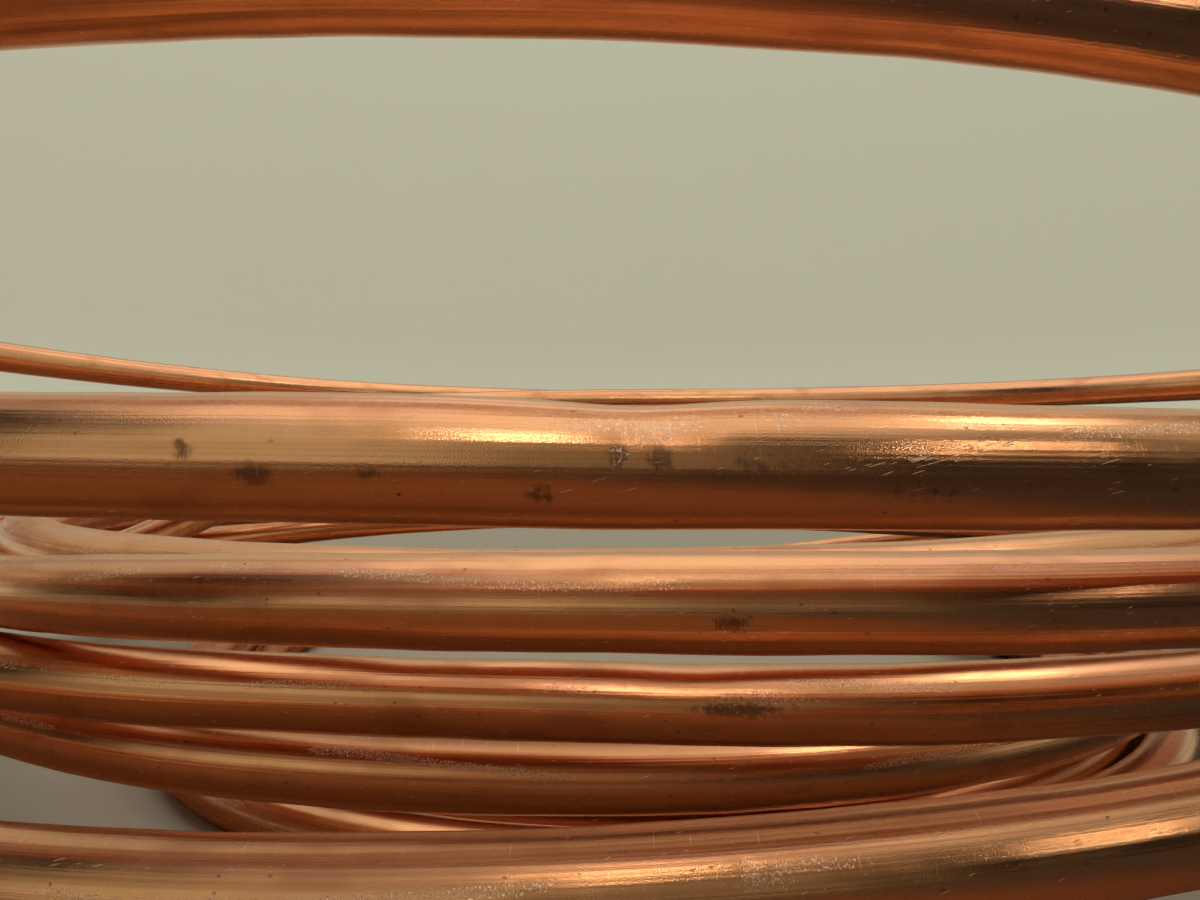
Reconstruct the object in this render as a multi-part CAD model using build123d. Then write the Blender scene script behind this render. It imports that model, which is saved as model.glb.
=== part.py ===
from build123d import *
import math
import os

# A loose coil of soft copper tube, drawn in millimetres, with +Z up and the floor at Z = 0.
# It is one length of tube. Its lowest turns lie on the floor, and the rest have sprung apart,
# as an annealed coil does once its bands are cut. Both ends are open and cut square.

# Tube
TUBE_DIAMETER = 15.88
TUBE_WALL = 1.02

# Coil
MEAN_RADIUS = 238.0
CORNERS_PER_TURN = 12
BEND_SHARE = 0.49

# Turns, from the end that lies on the floor to the end at the top. Each row is one turn, and
# each pair says where its centre line passes the far, right, near and left side of the coil:
# how far out from MEAN_RADIUS and how high above the floor, both in tube diameters.
TURNS = [
    ((4.9, 0.50), (7.6, 4.90), (0.5, 2.62), (1.9, 2.15)),
    ((3.7, 0.50), (0.7, 0.50), (-4.9, 0.50), (-7.0, 0.50)),
    ((2.5, 0.50), (-0.5, 0.50), (-6.1, 0.50), (-8.2, 0.50)),
    ((1.0, 0.50), (-1.7, 1.45), (-5.4, 1.60), (-7.4, 1.60)),
    ((2.2, 1.60), (0.0, 1.80), (-3.9, 2.10), (-0.7, 2.80)),
    ((1.8, 3.60), (5.6, 3.50), (-3.4, 3.32), (1.0, 4.05)),
    ((-2.6, 4.60), (1.9, 5.20), (-3.0, 4.75), (-4.2, 5.00)),
    ((-1.6, 6.10), (6.3, 5.10), (-0.9, 5.00), (-4.0, 3.50)),
    ((2.4, 7.50), (5.6, 6.15), (1.5, 6.43), (1.2, 6.90)),
    ((0.4, 8.65), (7.9, 8.60), (0.0, 10.85), (4.6, 9.90)),
]
TOP_END = ((3.2, 8.80),)


def slope_at(values, station):
    """The curve's slope at a station: none at an end or at a high or low one, so it never overshoots."""
    if station in (0, len(values) - 1):
        return 0
    rise_in = values[station] - values[station - 1]
    rise_out = values[station + 1] - values[station]
    if rise_in * rise_out <= 0:
        return 0
    return 2 * rise_in * rise_out / (rise_in + rise_out)


def smooth_value(values, place):
    """The value at a place between stations, on a curve that passes smoothly through them all."""
    start = min(int(place), len(values) - 2)
    share = place - start
    ease = share * share * (3 - 2 * share)
    lead_in = slope_at(values, start) * share * (1 - share) ** 2
    lead_out = slope_at(values, start + 1) * (1 - share) * share**2
    return values[start] * (1 - ease) + values[start + 1] * ease + lead_in - lead_out


def route_corners():
    """Corners of the centre line, evenly spaced round the coil and just outside its curve."""
    stations = [station for turn in TURNS for station in turn] + list(TOP_END)
    steps_out = [out for out, height in stations]
    heights = [height for out, height in stations]
    stations_per_turn = len(TURNS[0])
    spacing = stations_per_turn / CORNERS_PER_TURN
    corner_stretch = 1 / math.cos(math.pi / CORNERS_PER_TURN)
    corners = []
    for count in range(int((len(stations) - 1) / spacing) + 1):
        place = count * spacing
        reach = (MEAN_RADIUS + TUBE_DIAMETER * smooth_value(steps_out, place)) * corner_stretch
        height = TUBE_DIAMETER * smooth_value(heights, place)
        angle = math.pi / 2 - 2 * math.pi * place / stations_per_turn
        corners.append(Vector(reach * math.cos(angle), reach * math.sin(angle), height))
    return corners


def bend_radii(corners):
    """The radius at each inner corner whose arc uses nearly half of the shorter run beside it."""
    radii = []
    for before, corner, after in zip(corners, corners[1:], corners[2:]):
        run_in = corner - before
        run_out = after - corner
        turn = math.radians(run_in.get_angle(run_out))
        shorter_run = min(run_in.length, run_out.length)
        radii.append(BEND_SHARE * shorter_run / math.tan(turn / 2))
    return radii


def wall_along(edge, section):
    """The stretch of tube that a section sweeps along one straight run or one arc."""
    if edge.geom_type == GeomType.LINE:
        return extrude(section, amount=edge.length, dir=edge % 0)
    return revolve(section, axis=bend_axis(edge), revolution_arc=math.degrees(edge.length / edge.radius))


def bend_axis(arc):
    """The line that an arc of the centre line turns about."""
    return Axis(arc.arc_center, (arc @ 0 - arc.arc_center).cross(arc % 0))


def plane_after(edge, plane):
    """The section's plane at the far end of an edge, carried along it without twisting."""
    across = plane.x_dir
    if edge.geom_type != GeomType.LINE:
        turning = Axis((0, 0, 0), bend_axis(edge).direction)
        across = across.rotate(turning, math.degrees(edge.length / edge.radius))
    return Plane(origin=edge @ 1, x_dir=across, z_dir=edge % 1)


def make_tube():
    """One hollow solid: the round wall of every run and bend, closed by its two cut ends."""
    corners = route_corners()
    centre_line = FilletPolyline(*corners, radius=bend_radii(corners))
    outer_radius = TUBE_DIAMETER / 2
    ring = Circle(outer_radius) - Circle(outer_radius - TUBE_WALL)
    plane = Plane(origin=centre_line @ 0, z_dir=centre_line % 0)
    faces = [(plane * ring).face()]
    for edge in centre_line.edges():
        stretch = wall_along(edge, (plane * ring).face())
        faces += [face for face in stretch.faces() if face.geom_type != GeomType.PLANE]
        plane = plane_after(edge, plane)
    faces.append((plane * ring).face())
    tube = Solid(Shell(faces))
    print(f"centre line {centre_line.length:.0f} mm")
    print(f"volume {tube.volume:.0f} mm3, section times length {ring.area * centre_line.length:.0f} mm3")
    return tube


def stand_on_floor(shape):
    """The shape moved so that its box is centred on the origin and its lowest point is at Z = 0."""
    box = shape.bounding_box()
    middle = box.center()
    return Pos(-middle.X, -middle.Y, -box.min.Z) * shape


os.makedirs("parts", exist_ok=True)
export_step(stand_on_floor(make_tube()), "parts/copper_tube.step")
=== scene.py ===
import math

import bpy
import numpy as np
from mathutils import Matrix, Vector


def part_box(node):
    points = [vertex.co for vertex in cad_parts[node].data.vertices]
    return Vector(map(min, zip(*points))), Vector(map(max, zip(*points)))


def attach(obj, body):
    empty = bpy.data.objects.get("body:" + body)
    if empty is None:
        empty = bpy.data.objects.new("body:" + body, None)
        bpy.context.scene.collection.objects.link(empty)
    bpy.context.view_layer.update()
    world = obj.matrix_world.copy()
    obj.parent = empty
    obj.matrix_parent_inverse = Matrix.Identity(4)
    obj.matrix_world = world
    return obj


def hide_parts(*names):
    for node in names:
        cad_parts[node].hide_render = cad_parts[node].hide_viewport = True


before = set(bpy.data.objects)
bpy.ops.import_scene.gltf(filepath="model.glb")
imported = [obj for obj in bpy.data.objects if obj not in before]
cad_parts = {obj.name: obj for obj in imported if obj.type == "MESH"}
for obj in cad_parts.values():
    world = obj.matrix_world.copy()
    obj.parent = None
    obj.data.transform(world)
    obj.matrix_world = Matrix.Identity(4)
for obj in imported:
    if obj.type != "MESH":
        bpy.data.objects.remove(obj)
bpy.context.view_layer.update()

# The tube's route
# The coil is one length of soft copper tube, wound on a drum at the mill and sold as a flat coil.
# Its bands are off, so the lower turns lie on the floor and the upper ones have sprung apart. The
# route is the one that the solid model follows, taken through the same places in each turn.
TUBE_DIAMETER = 0.01588
TUBE_WALL = 0.00102
MEAN_RADIUS = 0.238

# Where each turn passes the far, right, near and left side: out from MEAN_RADIUS, and height,
# both in tube diameters
TURNS = [
    ((4.9, 0.50), (7.6, 4.90), (0.5, 2.62), (1.9, 2.15)),
    ((3.7, 0.50), (0.7, 0.50), (-4.9, 0.50), (-7.0, 0.50)),
    ((2.5, 0.50), (-0.5, 0.50), (-6.1, 0.50), (-8.2, 0.50)),
    ((1.0, 0.50), (-1.7, 1.45), (-5.4, 1.60), (-7.4, 1.60)),
    ((2.2, 1.60), (0.0, 1.80), (-3.9, 2.10), (-0.7, 2.80)),
    ((1.8, 3.60), (5.6, 3.50), (-3.4, 3.32), (1.0, 4.05)),
    ((-2.6, 4.60), (1.9, 5.20), (-3.0, 4.75), (-4.2, 5.00)),
    ((-1.6, 6.10), (6.3, 5.10), (-0.9, 5.00), (-4.0, 3.50)),
    ((2.4, 7.50), (5.6, 6.15), (1.5, 6.43), (1.2, 6.90)),
    ((0.4, 8.65), (7.9, 8.60), (0.0, 10.85), (4.6, 9.90)),
]
TOP_END = ((3.2, 8.80),)
STATIONS = [station for turn in TURNS for station in turn] + list(TOP_END)
STATIONS_PER_TURN = len(TURNS[0])
CORNERS_PER_TURN = 12


def slope_at(values, station):
    """The curve's slope at a station: none at an end or at a high or low one."""
    if station in (0, len(values) - 1):
        return 0
    rise_in = values[station] - values[station - 1]
    rise_out = values[station + 1] - values[station]
    if rise_in * rise_out <= 0:
        return 0
    return 2 * rise_in * rise_out / (rise_in + rise_out)


def smooth_value(values, place):
    """The value at a place between stations, on a curve that passes smoothly through them all."""
    start = min(int(place), len(values) - 2)
    share = place - start
    ease = share * share * (3 - 2 * share)
    lead_in = slope_at(values, start) * share * (1 - share) ** 2
    lead_out = slope_at(values, start + 1) * (1 - share) * share**2
    return values[start] * (1 - ease) + values[start + 1] * ease + lead_in - lead_out


def route_corners():
    """Corners of the centre line, evenly spaced round the coil and just outside its curve."""
    steps_out = [out for out, height in STATIONS]
    heights = [height for out, height in STATIONS]
    spacing = STATIONS_PER_TURN / CORNERS_PER_TURN
    corner_stretch = 1 / math.cos(math.pi / CORNERS_PER_TURN)
    corners = []
    for count in range(int((len(STATIONS) - 1) / spacing) + 1):
        place = count * spacing
        reach = (MEAN_RADIUS + TUBE_DIAMETER * smooth_value(steps_out, place)) * corner_stretch
        height = TUBE_DIAMETER * smooth_value(heights, place)
        angle = math.pi / 2 - 2 * math.pi * place / STATIONS_PER_TURN
        corners.append((reach * math.cos(angle), reach * math.sin(angle), height))
    return np.array(corners)


CORNERS = route_corners()


def route_points(places):
    """The centre line at places counted in corners: a curve that touches every run half way."""
    nearest = np.clip(np.round(places).astype(int), 1, len(CORNERS) - 2)
    share = (places - nearest + 0.5)[:, None]
    before, corner, after = (CORNERS[nearest + step] for step in (-1, 0, 1))
    curve = before * (1 - share) ** 2 / 2 + corner * (0.5 + share - share**2) + after * share**2 / 2
    straight_start = CORNERS[0] + (CORNERS[1] - CORNERS[0]) * places[:, None]
    from_end = len(CORNERS) - 1 - places[:, None]
    straight_end = CORNERS[-1] + (CORNERS[-2] - CORNERS[-1]) * from_end
    curve = np.where(places[:, None] < 0.5, straight_start, curve)
    return np.where(from_end < 0.5, straight_end, curve)


# The tube
# Soft drawn copper, 5/8 inch outside with a thin wall, open at both ends and cut square with a
# wheel cutter. Handling has left shallow dents and flats, and its skin is faintly wavy from the
# drum. One mesh: the outer skin, the bore and the two cut faces.
SIDES = 36
SHARP_CUT = math.radians(40)
ROUTE_SAMPLES = 60000
MM_PER_METRE = 1000

# How far apart the rings are, in metres: on most of the skin, on its near side from SHOWN_LEFT to
# SHOWN_RIGHT, at the shortest dents, and in the bore
SKIN_STEP = 0.012
SHOWN_STEP = 0.0030
SHOWN_LEFT = math.radians(24)
SHOWN_RIGHT = math.radians(46)
DENT_STEP = 0.0011
BORE_STEP = 0.026

# The rings are close together up to this share of a dent's reach along the tube, and this many of
# them go to one reach
CLOSE_RINGS_REACH = 0.9
RINGS_PER_REACH = 10

# Dents and marks: which turn, degrees right of the coil's near side, degrees up from the tube's
# outer side, how far it reaches each way along and round the tube and how deep it is, all three in
# millimetres, and how scuffed, smudged, brushed and deep brown it is. The deep brown makes soft
# darker patches, and on some rows it is painted shade
DENTS = [
    (9, 6.7, 80, 17.0, 9.0, 1.05, 0.0, 0.0, 0.0, 0.0),
    (9, 3.9, 52, 9.0, 4.0, 0.20, 0.0, 0.0, 0.0, 0.0),
    (9, 7.2, 36, 8.0, 3.4, 0.34, 0.2, 0.0, 0.0, 0.0),
    (9, 6.9, 30, 5.0, 2.0, 0.06, 1.0, 0.0, 0.0, 0.0),
    (9, 7.8, 40, 3.2, 1.8, 0.06, 0.9, 0.2, 0.0, 0.0),
    (9, 6.2, 6, 1.8, 2.6, 0.10, 0.6, 0.9, 0.0, 0.0),
    (9, 7.2, 6, 2.4, 2.2, 0.12, 0.1, 1.0, 0.0, 0.0),
    (9, 9.6, 2, 9.0, 2.4, 0.05, 0.0, 0.5, 0.0, 0.0),
    (9, 10.2, 44, 4.0, 1.8, 0.03, 0.7, 0.0, 0.0, 0.0),
    (9, 11.4, 62, 6.0, 3.0, 0.10, 0.5, 0.0, 0.0, 0.0),
    (9, 12.4, 4, 3.4, 1.3, 0.06, 0.0, 0.0, 1.0, 0.0),
    (9, 13.3, 9, 3.4, 1.5, 0.05, 0.0, 0.0, 1.0, 0.0),
    (9, 14.2, 15, 3.6, 1.4, 0.00, 0.0, 0.0, 0.9, 0.0),
    (9, 15.3, 20, 4.0, 1.1, 0.00, 0.0, 0.0, 0.7, 0.0),
    (9, 16.6, -2, 17.0, 5.0, 0.48, 0.0, 0.0, 0.0, 0.0),
    (9, 18.0, 10, 2.2, 1.6, 0.04, 0.2, 0.0, 0.6, 0.0),
    (9, 22.6, 22, 9.0, 4.5, 0.22, 0.2, 0.0, 0.0, 0.0),
    (9, 13.4, -22, 9.0, 2.4, 0.05, 0.0, 0.45, 0.0, 0.0),
    (9, 4.4, -27, 2.6, 1.6, 0.05, 0.1, 0.8, 0.0, 0.0),
    (9, -2.4, -14, 3.8, 1.6, 0.05, 0.1, 1.0, 0.0, 0.0),
    (9, 0.3, -10, 1.6, 1.5, 0.03, 0.0, 0.8, 0.0, 0.0),
    (9, -4.2, 6, 0.8, 1.6, 0.03, 0.0, 0.9, 0.0, 0.0),
    (8, 3.2, 70, 14.0, 6.0, 0.40, 0.0, 0.0, 0.0, 0.0),
    (8, 10.6, -14, 5.0, 1.7, 0.05, 0.1, 0.8, 0.0, 0.0),
    (8, 19.5, 48, 9.0, 1.7, 0.04, 0.2, 0.0, 0.6, 0.0),
    (6, 12.5, 80, 14.0, 7.0, 0.35, 0.0, 0.0, 0.0, 0.0),
    (6, 15.5, 24, 14.0, 2.0, 0.06, 0.9, 0.0, 0.0, 0.0),
    (6, 14.5, 8, 12.0, 2.0, 0.12, 0.3, 1.0, 0.0, 0.0),
    (6, -3.0, 80, 14.0, 7.0, 0.20, 0.0, 0.0, 0.0, 0.0),
    (1, 10.4, 24, 6.0, 1.7, 0.05, 0.9, 0.0, 0.0, 0.0),
    (1, 9.9, 34, 0.9, 1.8, 0.12, 1.0, 0.0, 0.0, 0.0),
    (1, 6.0, 40, 12.0, 4.0, 0.12, 0.1, 0.0, 0.0, 0.0),
    (10, 8.0, -40, 16.0, 7.0, 0.25, 0.0, 0.1, 0.0, 0.0),
    # The last six rows darken soft patches deep brown; on turn 8 and over the tops of turns 5 and 1
    # that deep brown is painted shade, where the turns above keep the tube dark
    (9, -7.5, 42, 13.0, 2.2, 0.16, 0.0, 0.0, 0.0, 0.5),
    (9, 10.5, 34, 16.0, 2.4, 0.00, 0.0, 0.0, 0.0, 0.4),
    (8, -12.0, 18, 20.0, 3.0, 0.15, 0.0, 0.0, 0.0, 0.5),
    (6, -24.0, 26, 22.0, 3.4, 0.05, 0.0, 0.0, 0.0, 0.5),
    (5, 2.0, 80, 120.0, 6.0, 0.00, 0.0, 0.0, 0.0, 1.0),
    (1, 5.0, 70, 110.0, 5.0, 0.00, 0.0, 0.0, 0.0, 0.9),
]
MARK_KINDS = 4

# At its reach a dent has fallen to e to the minus this, about a seventh of its depth
DENT_FALL = 2

# Waves in the skin: how long each is in metres, how often it goes round the tube, and how high it
# is in metres from trough to crest
WAVES = [(0.021, 1, 0.00003), (0.034, 2, 0.00004), (0.055, 1, 0.00006), (0.088, 3, 0.00005)]
WAVE_COPIES = 3
WAVE_STRETCH = (0.8, 1.25)
WAVE_SEED = 4

last_place = len(CORNERS) - 1
fine_places = np.linspace(0, last_place, ROUTE_SAMPLES)
fine_points = route_points(fine_places)
fine_length = np.concatenate([[0], np.cumsum(np.linalg.norm(np.diff(fine_points, axis=0), axis=1))])

# The route is moved sideways so that its box lies on the solid's box in the frame
box_low, box_high = (np.array(corner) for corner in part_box("copper_tube"))
shift = (box_low + box_high) / 2 - (fine_points.min(axis=0) + fine_points.max(axis=0)) / 2
shift[2] = 0


def length_at(turn, degrees_right):
    """How far along the tube a turn lies that many degrees right of the coil's near side."""
    near_place = (turn - 0.5) * CORNERS_PER_TURN
    place = near_place - degrees_right / 360 * CORNERS_PER_TURN
    return np.interp(place, fine_places, fine_length)


def ring_lengths(step_of):
    """Lengths along the tube for its rings, as close together as step_of asks at each point."""
    density = 1 / step_of
    mean_density = (density[1:] + density[:-1]) / 2
    count = np.concatenate([[0], np.cumsum(mean_density * np.diff(fine_length))])
    rings = int(math.ceil(count[-1]))
    return np.interp(np.linspace(0, count[-1], rings + 1), count, fine_length)


def dents_at(lengths, way_round):
    """The dents' depth at each point, and how strong each mark, painted shade among them, is."""
    depth = np.zeros(np.broadcast(lengths, way_round).shape)
    marks = np.zeros(depth.shape + (MARK_KINDS,))
    for turn, right, up, long, wide, deep, *strengths in DENTS:
        along = (lengths - length_at(turn, right)) / (long / MM_PER_METRE)
        round_it = (way_round - math.radians(up) + math.pi) % (2 * math.pi) - math.pi
        across = round_it * (TUBE_DIAMETER / 2) / (wide / MM_PER_METRE)
        middle = np.exp(-DENT_FALL * (along**2 + across**2))
        depth += deep / MM_PER_METRE * middle
        marks = np.maximum(marks, middle[..., None] * np.array(strengths))
    return depth, marks


def waves_at(lengths, way_round):
    """The low waves that the drum and the straightener left in the skin."""
    rng = np.random.default_rng(WAVE_SEED)
    height = np.zeros(np.broadcast(lengths, way_round).shape)
    for long, times_round, high in WAVES:
        for _ in range(WAVE_COPIES):
            stretch = rng.uniform(*WAVE_STRETCH)
            phase = rng.uniform(0, 2 * math.pi)
            twist = rng.choice([-1, 1]) * times_round
            along_wave = 2 * math.pi * lengths / (long * stretch)
            height += high / 2 * np.sin(along_wave + twist * way_round + phase)
    return height


def rings_at(lengths, radius, dented):
    """Rings of points round the centre line, each from the tube's outer side upwards.

    With each point go how far along, out and up it is on the tube, and its marks.
    """
    places = np.interp(lengths, fine_length, fine_places)
    centre = route_points(places)
    ahead = np.gradient(centre, lengths, axis=0)
    ahead /= np.linalg.norm(ahead, axis=1)[:, None]
    outward = np.cross([0, 0, 1.0], ahead)
    outward /= np.linalg.norm(outward, axis=1)[:, None]
    outward *= np.sign(np.sum(outward[:, :2] * centre[:, :2], axis=1))[:, None]
    upward = np.cross(ahead, outward)
    upward *= np.sign(upward[:, 2])[:, None]
    way_round = 2 * np.pi * np.arange(SIDES)[None, :] / SIDES
    reach = np.full((len(lengths), SIDES), radius)
    marks = np.zeros(reach.shape + (MARK_KINDS,))
    if dented:
        depth, marks = dents_at(lengths[:, None], way_round)
        reach += waves_at(lengths[:, None], way_round) - depth
    out, up = reach * np.cos(way_round), reach * np.sin(way_round)
    points = centre[:, None, :] + outward[:, None, :] * out[:, :, None]
    points = points + upward[:, None, :] * up[:, :, None]
    flat = np.stack(np.broadcast_arrays(lengths[:, None], out, up), axis=2)
    return (points + shift).reshape(-1, 3), flat.reshape(-1, 3), marks.reshape(-1, MARK_KINDS)


way_from_near = np.arctan2(fine_points[:, 0], -fine_points[:, 1])
shown = (way_from_near > -SHOWN_LEFT) & (way_from_near < SHOWN_RIGHT)
step_of = np.where(shown, SHOWN_STEP, SKIN_STEP)
for turn, right, up, long, *others in DENTS:
    reach = long / MM_PER_METRE
    close = np.abs(fine_length - length_at(turn, right)) < reach * CLOSE_RINGS_REACH
    dent_step = max(DENT_STEP, reach / RINGS_PER_REACH)
    step_of = np.where(close, np.minimum(step_of, dent_step), step_of)
skin_lengths = ring_lengths(step_of)
bore_lengths = ring_lengths(np.full(ROUTE_SAMPLES, BORE_STEP))
skin_points, skin_flat, skin_marks = rings_at(skin_lengths, TUBE_DIAMETER / 2, True)
bore_points, bore_flat, bore_marks = rings_at(bore_lengths, TUBE_DIAMETER / 2 - TUBE_WALL, False)
skin_count = len(skin_points)


def ring_faces(rings, first, outwards):
    """Four-sided faces between neighbouring rings, facing out of the skin or into the bore."""
    ring, side = np.meshgrid(np.arange(rings - 1), np.arange(SIDES), indexing="ij")
    here = first + ring * SIDES + side
    beside = first + ring * SIDES + (side + 1) % SIDES
    faces = np.stack([here, here + SIDES, beside + SIDES, beside], axis=2).reshape(-1, 4)
    return faces if outwards else faces[:, ::-1]


side = np.arange(SIDES)
beside = (side + 1) % SIDES
last_skin = skin_count - SIDES
last_bore = skin_count + len(bore_points) - SIDES
start_cut = np.stack([side, beside, skin_count + beside, skin_count + side], axis=1)
top_corners = [last_skin + side, last_bore + side, last_bore + beside, last_skin + beside]
top_cut = np.stack(top_corners, axis=1)
tube_faces = np.concatenate(
    [
        ring_faces(len(skin_lengths), 0, True),
        ring_faces(len(bore_lengths), skin_count, False),
        start_cut,
        top_cut,
    ]
)
tube_mesh = bpy.data.meshes.new("copper_tube_skin")
tube_mesh.from_pydata(np.concatenate([skin_points, bore_points]).tolist(), [], tube_faces.tolist())
tube_mesh.update()
tube_mesh.shade_smooth()
tube_mesh.set_sharp_from_angle(angle=SHARP_CUT)
along_tube = tube_mesh.attributes.new("along_tube", "FLOAT_VECTOR", "POINT")
along_tube.data.foreach_set("vector", np.concatenate([skin_flat, bore_flat]).ravel())
marks_on_tube = tube_mesh.attributes.new("marks", "FLOAT_COLOR", "POINT")
marks_on_tube.data.foreach_set("color", np.concatenate([skin_marks, bore_marks]).ravel())
tube = bpy.data.objects.new("copper_tube_skin", tube_mesh)
bpy.context.scene.collection.objects.link(tube)
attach(tube, "root")
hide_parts("copper_tube")

# The copper's finish
# Bare annealed copper: satin, with fine lines from the drawing die along the tube, brown and rosy
# tarnish, dark pits, scratches across it, chains of bright nicks where turns have rubbed, scuffs,
# and a brushed sweep where the tube was dragged. Deep brown darkens soft patches, and is painted
# shade over the tops of two low turns and on one patch of turn 8.


class Socket:
    """A value or vector in a material's nodes, which takes the ordinary signs of arithmetic."""

    def __init__(self, nodes, socket):
        self.nodes = nodes
        self.socket = socket

    def maths(self, operation, first, second):
        """What a maths node makes of two values."""
        return self.nodes.add("ShaderNodeMath", {"operation": operation}, {0: first, 1: second})

    def __add__(self, other):
        return self.maths("ADD", self, other)

    def __radd__(self, other):
        return self.maths("ADD", other, self)

    def __sub__(self, other):
        return self.maths("SUBTRACT", self, other)

    def __rsub__(self, other):
        return self.maths("SUBTRACT", other, self)

    def __mul__(self, other):
        return self.maths("MULTIPLY", self, other)

    def __rmul__(self, other):
        return self.maths("MULTIPLY", other, self)


class Nodes:
    """The nodes of one material."""

    def __init__(self, name):
        self.material = bpy.data.materials.new(name)
        self.material.use_nodes = True
        self.tree = self.material.node_tree
        self.tree.nodes.clear()

    def add(self, kind, settings, values, output=0):
        """A new node: its settings, then its sockets' values or links. Gives one of its outputs."""
        node = self.tree.nodes.new(kind)
        for name, value in settings.items():
            setattr(node, name, value)
        for name, value in values.items():
            if isinstance(value, Socket):
                self.tree.links.new(value.socket, node.inputs[name])
            else:
                node.inputs[name].default_value = value
        return Socket(self, node.outputs[output]) if node.outputs else None


copper = Nodes("soft_copper")
on_tube = copper.add("ShaderNodeAttribute", {"attribute_name": "along_tube"}, {}, "Vector")
along = copper.add("ShaderNodeSeparateXYZ", {}, {"Vector": on_tube}, "X")
outward_part = Socket(copper, along.socket.node.outputs["Y"])
upward_part = Socket(copper, along.socket.node.outputs["Z"])
marks = copper.add("ShaderNodeAttribute", {"attribute_name": "marks"}, {}, "Color")
# The marks' fourth channel: deep brown soft patches, and painted shade in some of them
brown_patches_and_painted_shade = Socket(copper, marks.socket.node.outputs["Alpha"])
scuffed = copper.add("ShaderNodeSeparateColor", {}, {"Color": marks}, "Red")
smudged = Socket(copper, scuffed.socket.node.outputs["Green"])
brushed = Socket(copper, scuffed.socket.node.outputs["Blue"])
round_tube = upward_part.maths("ARCTAN2", upward_part, outward_part) * (TUBE_DIAMETER / 2)


def flat_place(first, second):
    """A place on the tube's skin as if it were unrolled."""
    return copper.add("ShaderNodeCombineXYZ", {}, {"X": first, "Y": second})


def flat_noise(place, detail):
    """Random light and dark, from 0 to 1, over places on the unrolled skin."""
    values = {"Vector": place, "Scale": 1.0, "Detail": detail}
    return copper.add("ShaderNodeTexNoise", {"noise_dimensions": "2D"}, values, "Fac")


def lines(per_metre_along, per_metre_round, detail=1.0, shift_by=0.0):
    """Random light and dark on the unrolled skin, as long and as wide as asked."""
    place = flat_place(along * per_metre_along + shift_by, round_tube * per_metre_round)
    return flat_noise(place, detail)


def stretches(per_metre_along, shift_by):
    """Random stretches along the tube, from 0 to 1."""
    values = {"W": along * per_metre_along + shift_by, "Scale": 1.0, "Detail": 1.0}
    return copper.add("ShaderNodeTexNoise", {"noise_dimensions": "1D"}, values, "Fac")


def patches(per_metre_along, per_metre_round, shift_by):
    """Smooth random patches, from 0 to 1, that close all the way round the tube."""
    per_metre = (per_metre_along, per_metre_round, per_metre_round)
    values = {0: on_tube, 1: per_metre, 2: (shift_by, 0.0, 0.0)}
    stretched = copper.add("ShaderNodeVectorMath", {"operation": "MULTIPLY_ADD"}, values)
    values = {"Vector": stretched, "Scale": 1.0, "Detail": 2.0}
    return copper.add("ShaderNodeTexNoise", {}, values, "Fac")


def spots(per_metre_along, per_metre_round, shift_by):
    """The distance from scattered spots on the unrolled skin, and a random value for each."""
    place = flat_place(along * per_metre_along + shift_by, round_tube * per_metre_round)
    values = {"Vector": place, "Scale": 1.0}
    distance = copper.add("ShaderNodeTexVoronoi", {"voronoi_dimensions": "2D"}, values, "Distance")
    colour = Socket(copper, distance.socket.node.outputs["Color"])
    chance = copper.add("ShaderNodeSeparateColor", {}, {"Color": colour}, "Red")
    return distance, chance


def between(value, low, high):
    """0 below low, 1 above high, and smooth between them. With low above high it falls."""
    values = {"Value": value, "From Min": low, "From Max": high, "To Min": 0.0, "To Max": 1.0}
    return value.nodes.add("ShaderNodeMapRange", {"interpolation_type": "SMOOTHSTEP"}, values)


# The mix node's sockets for colours have the same names as its other ones, so they go by number
MIX_SHARE = 0
MIX_FIRST = 6
MIX_SECOND = 7
MIX_RESULT = 2


def blend_colours(share, first, second):
    """One colour turning into another as share goes from 0 to 1."""
    values = {MIX_SHARE: share, MIX_FIRST: first, MIX_SECOND: second}
    return share.nodes.add("ShaderNodeMix", {"data_type": "RGBA"}, values, MIX_RESULT)


FRESH_COPPER = (0.91, 0.475, 0.245, 1)
ROSY_COPPER = (0.85, 0.425, 0.245, 1)
BROWN_TARNISH = (0.45, 0.18, 0.07, 1)
SMUDGE_BROWN = (0.10, 0.05, 0.03, 1)
# Deep brown for the soft patches and for the painted shade
PATCH_AND_SHADE_BROWN = (0.20, 0.07, 0.024, 1)
SCRATCH_PINK = (1.0, 0.74, 0.60, 1)
STROKE_PALE = (1.0, 0.84, 0.74, 1)

# How often each pattern changes in a metre, along the tube and round it
DIE_LINES = (7, 1900)
DIE_STREAKS = (2.5, 520)
GRAIN = (4600, 6400)
TARNISH = (14, 120)
CLOUDS = (60, 150)
PITS = (420, 560)
SCRATCHES = (3400, 150)
SPECKS = (3000, 2200)
WORN_PLACES = (620, 900)

# What the die and the drum left, all along the tube, and the fine grain of annealed copper
die_lines = lines(*DIE_LINES)
die_streaks = lines(*DIE_STREAKS, detail=2.0, shift_by=7.3)
grain = lines(*GRAIN, shift_by=1.7)

# What air and hands left
tarnish = patches(*TARNISH, shift_by=21.0)
clouds = patches(*CLOUDS, shift_by=3.1)
pit_distance, pit_chance = spots(*PITS, shift_by=5.0)
pits = between(pit_distance + (grain - 0.5) * 0.3, 0.17, 0.03) * between(pit_chance, 0.965, 0.985)

# Scratches straight across the tube, a few everywhere and many where it is marked
scratches = lines(*SCRATCHES, shift_by=3.0)
across = between(scratches + scuffed * 0.14 + smudged * 0.05, 0.74, 0.86)

# A brushed sweep where the tube was dragged: fine bright strokes that rise to the right
STROKE_SLOPE = 0.30
STROKES_PER_METRE = 5200
STROKE_ENDS_PER_METRE = 280
stroke_side = (along * STROKE_SLOPE + round_tube) * STROKES_PER_METRE
stroke_noise = flat_noise(flat_place(stroke_side, along * STROKE_ENDS_PER_METRE), 1.0)
strokes = between(stroke_noise + brushed * 0.34, 0.80, 0.87)

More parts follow.
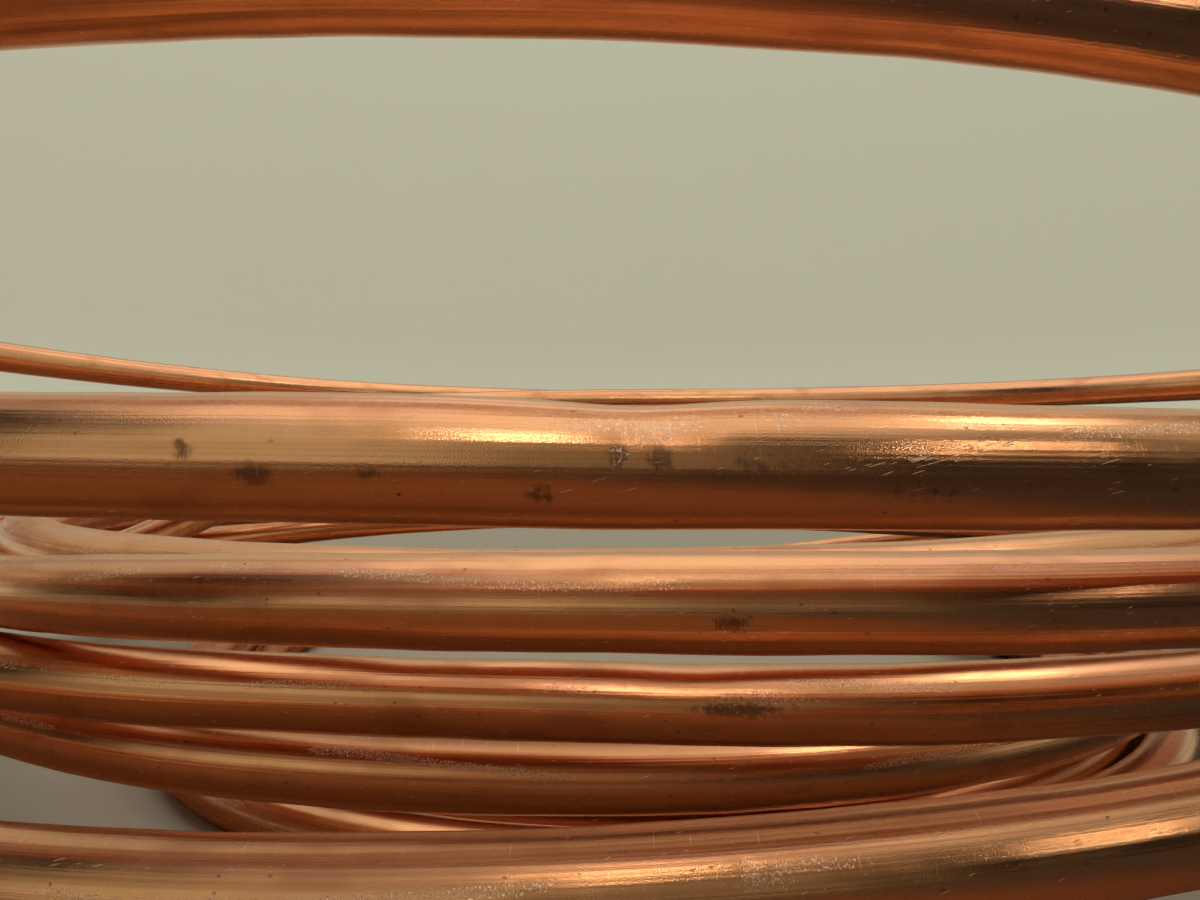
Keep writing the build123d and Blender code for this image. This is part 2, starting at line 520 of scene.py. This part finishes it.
# Chains of bright nicks lie a little above the outer side, where the next turn has rubbed, and the
# same broken metal fills the scuffed places. In metres: the rubbed line's height and how far that
# wanders, how far from the line the nicks end and where they are whole, and how far outwards they
# are whole.
RUB_HEIGHT = 0.0040
RUB_WANDER = 0.0080
RUB_EDGE = 0.0009
RUB_WHOLE = 0.0003
RUB_OUTWARD = 0.003
WANDERS_PER_METRE = 8
CHAINS_PER_METRE = 17
specks = lines(*SPECKS, detail=2.0, shift_by=9.0)
wander = (stretches(WANDERS_PER_METRE, shift_by=40.0) - 0.5) * RUB_WANDER
off_rub_line = upward_part - RUB_HEIGHT - wander
rub_line = between(off_rub_line * off_rub_line, RUB_EDGE**2, RUB_WHOLE**2)
rub_band = rub_line * between(outward_part, 0.0, RUB_OUTWARD)
rubbed = rub_band * between(stretches(CHAINS_PER_METRE, shift_by=60.0), 0.47, 0.56)
worn = lines(*WORN_PLACES, shift_by=33.0) * 0.9
nicked = between(scuffed + rubbed * 0.75 + worn, 0.70, 1.05)
crumbs = nicked * between(specks, 0.54, 0.60)
smudges = between(smudged + worn * 0.7 + (scratches - 0.5) * 0.35, 0.50, 1.00)

# The layers of colour on the fresh copper: where each is, how strong it is at most, and its colour
tone = blend_colours(between(tarnish, 0.42, 0.66), FRESH_COPPER, ROSY_COPPER)
for place, most, colour in [
    (between(die_streaks, 0.48, 0.72), 0.50, BROWN_TARNISH),
    (between(clouds, 0.52, 0.74), 0.40, BROWN_TARNISH),
    # Deep brown: soft darker patches, and painted shade over the tops of low turns
    (brown_patches_and_painted_shade, 0.85, PATCH_AND_SHADE_BROWN),
    (smudges, 0.72, SMUDGE_BROWN),
    (across, 0.35, SCRATCH_PINK),
    (crumbs, 0.80, SCRATCH_PINK),
    (strokes, 0.85, STROKE_PALE),
    (pits, 0.80, SMUDGE_BROWN),
]:
    tone = blend_colours(place * most, tone, colour)

# How rough the clean skin is, and how much rougher each thing on it makes it
roughness = 0.195
for place, rougher in [
    (between(clouds, 0.35, 0.70), 0.08),
    (between(die_streaks, 0.45, 0.70), 0.05),
    (smudges, 0.20),
    (crumbs, 0.10),
    (strokes, 0.30),
]:
    roughness = roughness + place * rougher

# How high each thing stands on the skin, in metres
relief = 0.0
for place, height in [
    (die_lines, 0.0000300),
    (die_streaks, 0.0000650),
    (grain, 0.0000190),
    (across, 0.0000060),
    (crumbs, 0.0000350),
    (strokes, 0.0000250),
]:
    relief = relief + place * height
values = {"Strength": 1.0, "Distance": 1.0, "Height": relief}
bumps = copper.add("ShaderNodeBump", {}, values, "Normal")
values = {"Base Color": tone, "Metallic": 1.0, "Roughness": roughness, "Normal": bumps}
copper_face = copper.add("ShaderNodeBsdfPrincipled", {}, values)
copper.add("ShaderNodeOutputMaterial", {}, {"Surface": copper_face})
tube_mesh.materials.append(copper.material)

# The floor and backdrop
# A plain pale sweep, flat under the coil and turned up all round it as a studio wall. The floor
# is painted about half as light as the wall.
FLOOR_RADIUS = 1.35
SWEEP_RADIUS = 0.35
WALL_TOP = 1.6
SWEEP_SIDES = 96
SWEEP_STEPS = 12
WALL_PAINT_SLOT = 1
FLOOR_PAINT = (0.42, 0.395, 0.345, 1)
WALL_PAINT = (0.83, 0.86, 0.79, 1)


def matt_paint(name, colour):
    """A flat, even paint that mirrors nothing."""
    paint = Nodes(name)
    values = {"Base Color": colour, "Roughness": 1.0, "Specular IOR Level": 0.0}
    face = paint.add("ShaderNodeBsdfPrincipled", {}, values)
    paint.add("ShaderNodeOutputMaterial", {}, {"Surface": face})
    return paint.material


profile = [(FLOOR_RADIUS, 0.0)]
for step in range(1, SWEEP_STEPS + 1):
    bend = math.pi / 2 * step / SWEEP_STEPS
    out = FLOOR_RADIUS + SWEEP_RADIUS * math.sin(bend)
    profile.append((out, SWEEP_RADIUS * (1 - math.cos(bend))))
profile.append((FLOOR_RADIUS + SWEEP_RADIUS, WALL_TOP))
sweep_points = [(0.0, 0.0, 0.0)]
sweep_faces = []
for reach, height in profile:
    for side in range(SWEEP_SIDES):
        angle = 2 * math.pi * side / SWEEP_SIDES
        sweep_points.append((reach * math.cos(angle), reach * math.sin(angle), height))
for side in range(SWEEP_SIDES):
    after = (side + 1) % SWEEP_SIDES
    sweep_faces.append((0, 1 + side, 1 + after))
wall_faces_start = len(sweep_faces)
for row in range(len(profile) - 1):
    start = 1 + row * SWEEP_SIDES
    next_start = start + SWEEP_SIDES
    for side in range(SWEEP_SIDES):
        after = (side + 1) % SWEEP_SIDES
        sweep_faces.append((start + side, next_start + side, next_start + after, start + after))
sweep_mesh = bpy.data.meshes.new("studio_sweep")
sweep_mesh.from_pydata(sweep_points, [], sweep_faces)
sweep_mesh.shade_smooth()
sweep_mesh.materials.append(matt_paint("floor_paint", FLOOR_PAINT))
sweep_mesh.materials.append(matt_paint("wall_paint", WALL_PAINT))
for face in sweep_mesh.polygons[wall_faces_start:]:
    face.material_index = WALL_PAINT_SLOT
sweep = bpy.data.objects.new("studio_sweep", sweep_mesh)
bpy.context.scene.collection.objects.link(sweep)

# The studio cards
# Dark grey, brown and tan cards, as a photographer sets round bright metal so that it shows its
# roundness: one flat on the floor under and in front of the coil, and three standing round the
# camera. Only reflections show them.
CARD_GREY = (0.028, 0.022, 0.018, 1)
CARD_BROWN = (0.21, 0.083, 0.026, 1)
CARD_TAN = (0.34, 0.31, 0.26, 1)
NEAR_SPOT = (0.0, -0.30, 0.08)

# The brown part of the floor card, in metres: where it starts and ends turning grey, how far left
# of the coil its middle is, and its shape, which is longer from near to far
BROWN_TO_GREY = (0.43, 0.55)
BROWN_SHIFT = (0.30, 0.0, 0.0)
BROWN_SHAPE = (1.0, 0.75, 0.0)
FLOOR_CARD_ROUGHNESS = 0.7


def floor_card_paint():
    """Brown under and near the coil, turning dark grey further out and to the right."""
    paint = Nodes("floor_card_paint")
    place = paint.add("ShaderNodeNewGeometry", {}, {}, "Position")
    values = {0: place, 1: BROWN_SHAPE, 2: BROWN_SHIFT}
    from_middle = paint.add("ShaderNodeVectorMath", {"operation": "MULTIPLY_ADD"}, values)
    reach = paint.add("ShaderNodeVectorMath", {"operation": "LENGTH"}, {0: from_middle}, "Value")
    colour = blend_colours(between(reach, *BROWN_TO_GREY), CARD_BROWN, CARD_GREY)
    values = {"Base Color": colour, "Roughness": FLOOR_CARD_ROUGHNESS}
    face = paint.add("ShaderNodeBsdfPrincipled", {}, values)
    paint.add("ShaderNodeOutputMaterial", {}, {"Surface": face})
    return paint.material


def seen_from_coil(degrees_right, degrees_up, distance):
    """A place seen from the coil's near side, that many degrees right of straight ahead and up."""
    right, up = math.radians(degrees_right), math.radians(degrees_up)
    way = Vector((math.sin(right) * math.cos(up), -math.cos(right) * math.cos(up), math.sin(up)))
    return Vector(NEAR_SPOT) + way * distance


def studio_card(name, low_edge, high_edge, paint):
    """A card between two rows of points, seen only in reflections."""
    count = len(low_edge)
    faces = [(place, place + 1, count + place + 1, count + place) for place in range(count - 1)]
    card_mesh = bpy.data.meshes.new(name)
    card_mesh.from_pydata([tuple(point) for point in low_edge + high_edge], [], faces)
    card_mesh.materials.append(paint)
    card = bpy.data.objects.new(name, card_mesh)
    card.visible_camera = False
    card.visible_diffuse = False
    card.visible_shadow = False
    bpy.context.scene.collection.objects.link(card)


FLOOR_CARD_LEFT = -0.8
FLOOR_CARD_RIGHT = 1.15
FLOOR_CARD_BACK = 0.34
FLOOR_CARD_FRONT = -1.25
FLOOR_CARD_HEIGHT = 0.0005
studio_card(
    "floor_card",
    [(side, FLOOR_CARD_BACK, FLOOR_CARD_HEIGHT) for side in (FLOOR_CARD_LEFT, FLOOR_CARD_RIGHT)],
    [(side, FLOOR_CARD_FRONT, FLOOR_CARD_HEIGHT) for side in (FLOOR_CARD_LEFT, FLOOR_CARD_RIGHT)],
    floor_card_paint(),
)

# The standing cards, from and to which side in degrees right of straight ahead of the coil's near
# side, and how high their lower and upper edges are in metres
STANDING_CARDS = {
    "front_card": {"from": -13, "to": 22, "foot": 0.0, "top": 2.0, "colour": CARD_TAN},
    "right_card": {"from": 22, "to": 74, "foot": 0.0, "top": 1.15, "colour": CARD_GREY},
    "left_card": {"from": -102, "to": -62, "foot": 0.05, "top": 1.45, "colour": CARD_GREY},
}
STANDING_CARD_AWAY = 1.15
STANDING_CARD_PLACES = 9
for name, card in STANDING_CARDS.items():
    turns = np.linspace(card["from"], card["to"], STANDING_CARD_PLACES)
    line = [seen_from_coil(right, 0, STANDING_CARD_AWAY) for right in turns]
    studio_card(
        name,
        [(point.x, point.y, card["foot"]) for point in line],
        [(point.x, point.y, card["top"]) for point in line],
        matt_paint(f"{name}_paint", card["colour"]),
    )

# Light
# One broad soft lamp overhead and an even sky, with three small warm lamps that put the short
# glints on each turn.


def soft_lamp(name, place, aim, size, watts, colour):
    """A square lamp that reflections show and the camera doesn't."""
    lamp = bpy.data.lights.new(name, "AREA")
    lamp.shape = "SQUARE"
    lamp.size = size
    lamp.energy = watts
    lamp.color = colour
    holder = bpy.data.objects.new(name, lamp)
    holder.location = place
    holder.rotation_mode = "QUATERNION"
    holder.rotation_quaternion = (Vector(aim) - Vector(place)).to_track_quat("-Z", "Y")
    holder.visible_camera = False
    bpy.context.scene.collection.objects.link(holder)


SOFT_WHITE = (1.0, 0.90, 0.74)
WARM = (1.0, 0.84, 0.62)
SKY_COLOUR = (1.0, 0.93, 0.82, 1)
SKY_STRENGTH = 0.53
OVERHEAD_PLACE = (0.1, 0.2, 2.3)
GLINT_LAMP_AWAY = 1.0

# The glint lamps: degrees right of straight ahead of the coil's near side and degrees up, how wide
# each is in metres, and its power in watts
GLINT_LAMPS = {
    "front_glint_lamp": (-6, 50, 0.04, 0.75),
    "right_glint_lamp": (47, 27, 0.04, 0.50),
    "side_glint_lamp": (98, 55, 0.05, 0.50),
}
soft_lamp("overhead_lamp", OVERHEAD_PLACE, aim=(0, 0, 0), size=3.0, watts=15, colour=SOFT_WHITE)
for name, (right, up, size, watts) in GLINT_LAMPS.items():
    place = seen_from_coil(right, up, GLINT_LAMP_AWAY)
    soft_lamp(name, place, NEAR_SPOT, size, watts, WARM)

world = bpy.data.worlds.new("studio_world")
world.use_nodes = True
background = world.node_tree.nodes["Background"]
background.inputs["Color"].default_value = SKY_COLOUR
background.inputs["Strength"].default_value = SKY_STRENGTH
bpy.context.scene.world = world

# Camera
# It stands just in front of the coil's near side and a little right of its middle, level, as high
# as the upper turns. Its lens takes in as much of the coil as the photo shows.
CAMERA_SIDE = 1.8 * TUBE_DIAMETER
CAMERA_BACK = 23.5 * TUBE_DIAMETER
CAMERA_HEIGHT = 6.5 * TUBE_DIAMETER
LENS_MM = 27.18
SENSOR_MM = 36
NEAREST_SEEN = 0.005
camera_data = bpy.data.cameras.new("camera")
camera_data.sensor_width = SENSOR_MM
camera_data.lens = LENS_MM
camera_data.clip_start = NEAREST_SEEN
camera = bpy.data.objects.new("camera", camera_data)
camera.location = (CAMERA_SIDE + shift[0], -CAMERA_BACK + shift[1], CAMERA_HEIGHT)
camera.rotation_euler = (math.pi / 2, 0, 0)
bpy.context.scene.collection.objects.link(camera)
bpy.context.scene.camera = camera
bpy.context.scene.view_settings.view_transform = "Standard"
